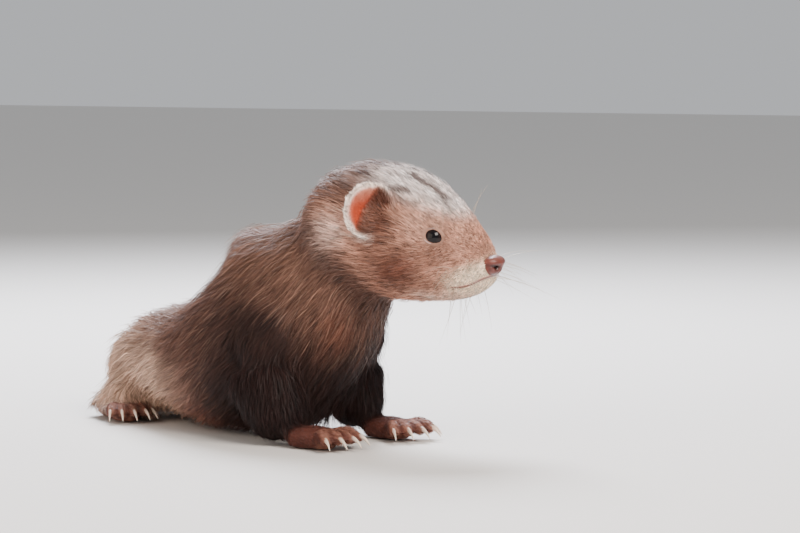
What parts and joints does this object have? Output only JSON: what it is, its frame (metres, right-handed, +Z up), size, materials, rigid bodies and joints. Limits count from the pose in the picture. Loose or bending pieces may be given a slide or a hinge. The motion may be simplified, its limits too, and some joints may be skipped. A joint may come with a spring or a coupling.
{
  "type": "ferret",
  "caption": "Life-size still model of a young ferret propped on its forelegs, head up, hindquarters crouched and tail laid along the floor.",
  "frame": {"origin": "on the floor, under the middle of the bounding box", "axes": "+X the way the head and chest face, +Y the animal's left, +Z up"},
  "size_m": [0.2096, 0.1756, 0.0908],
  "materials": {
    "face_fur": "short pale tan fur with a silver-white hood",
    "body_fur": "soft brown guard hair over pale underfur",
    "pale_fur": "cream-tan fur of the flank and hip",
    "dark_fur": "near-black fur of the limbs and the tail tip",
    "paw_skin": "reddish-brown skin with thin fur",
    "nose_leather": "moist pinkish-brown nose leather",
    "wet_eye": "wet black-brown eye",
    "claw_horn": "ivory-white claw"
  },
  "bodies": {
    "root": {"belly": "body_fur", "chest": "body_fur", "ear_left": "face_fur", "ear_right": "face_fur", "eye_left": "wet_eye", "eye_right": "wet_eye", "forearm_left": "dark_fur", "forearm_right": "dark_fur", "forepaw_left": "paw_skin", "forepaw_left_claw_1": "claw_horn", "forepaw_left_claw_2": "claw_horn", "forepaw_left_claw_3": "claw_horn", "forepaw_left_claw_4": "claw_horn", "forepaw_left_claw_5": "claw_horn", "forepaw_right": "paw_skin", "forepaw_right_claw_1": "claw_horn", "forepaw_right_claw_2": "claw_horn", "forepaw_right_claw_3": "claw_horn", "forepaw_right_claw_4": "claw_horn", "forepaw_right_claw_5": "claw_horn", "head": "face_fur", "hindfoot_left": "paw_skin", "hindfoot_left_claw_1": "claw_horn", "hindfoot_left_claw_2": "claw_horn", "hindfoot_left_claw_3": "claw_horn", "hindfoot_left_claw_4": "claw_horn", "hindfoot_left_claw_5": "claw_horn", "hindfoot_right": "paw_skin", "hindfoot_right_claw_1": "claw_horn", "hindfoot_right_claw_2": "claw_horn", "hindfoot_right_claw_3": "claw_horn", "hindfoot_right_claw_4": "claw_horn", "hindfoot_right_claw_5": "claw_horn", "neck": "body_fur", "nose": "nose_leather", "rump": "pale_fur", "shank_left": "dark_fur", "shank_right": "dark_fur", "tail_base": "body_fur", "tail_middle": "body_fur", "tail_tip": "dark_fur", "thigh_left": "pale_fur", "thigh_right": "pale_fur", "upper_arm_left": "dark_fur", "upper_arm_right": "dark_fur"}
  },
  "joints": []
}
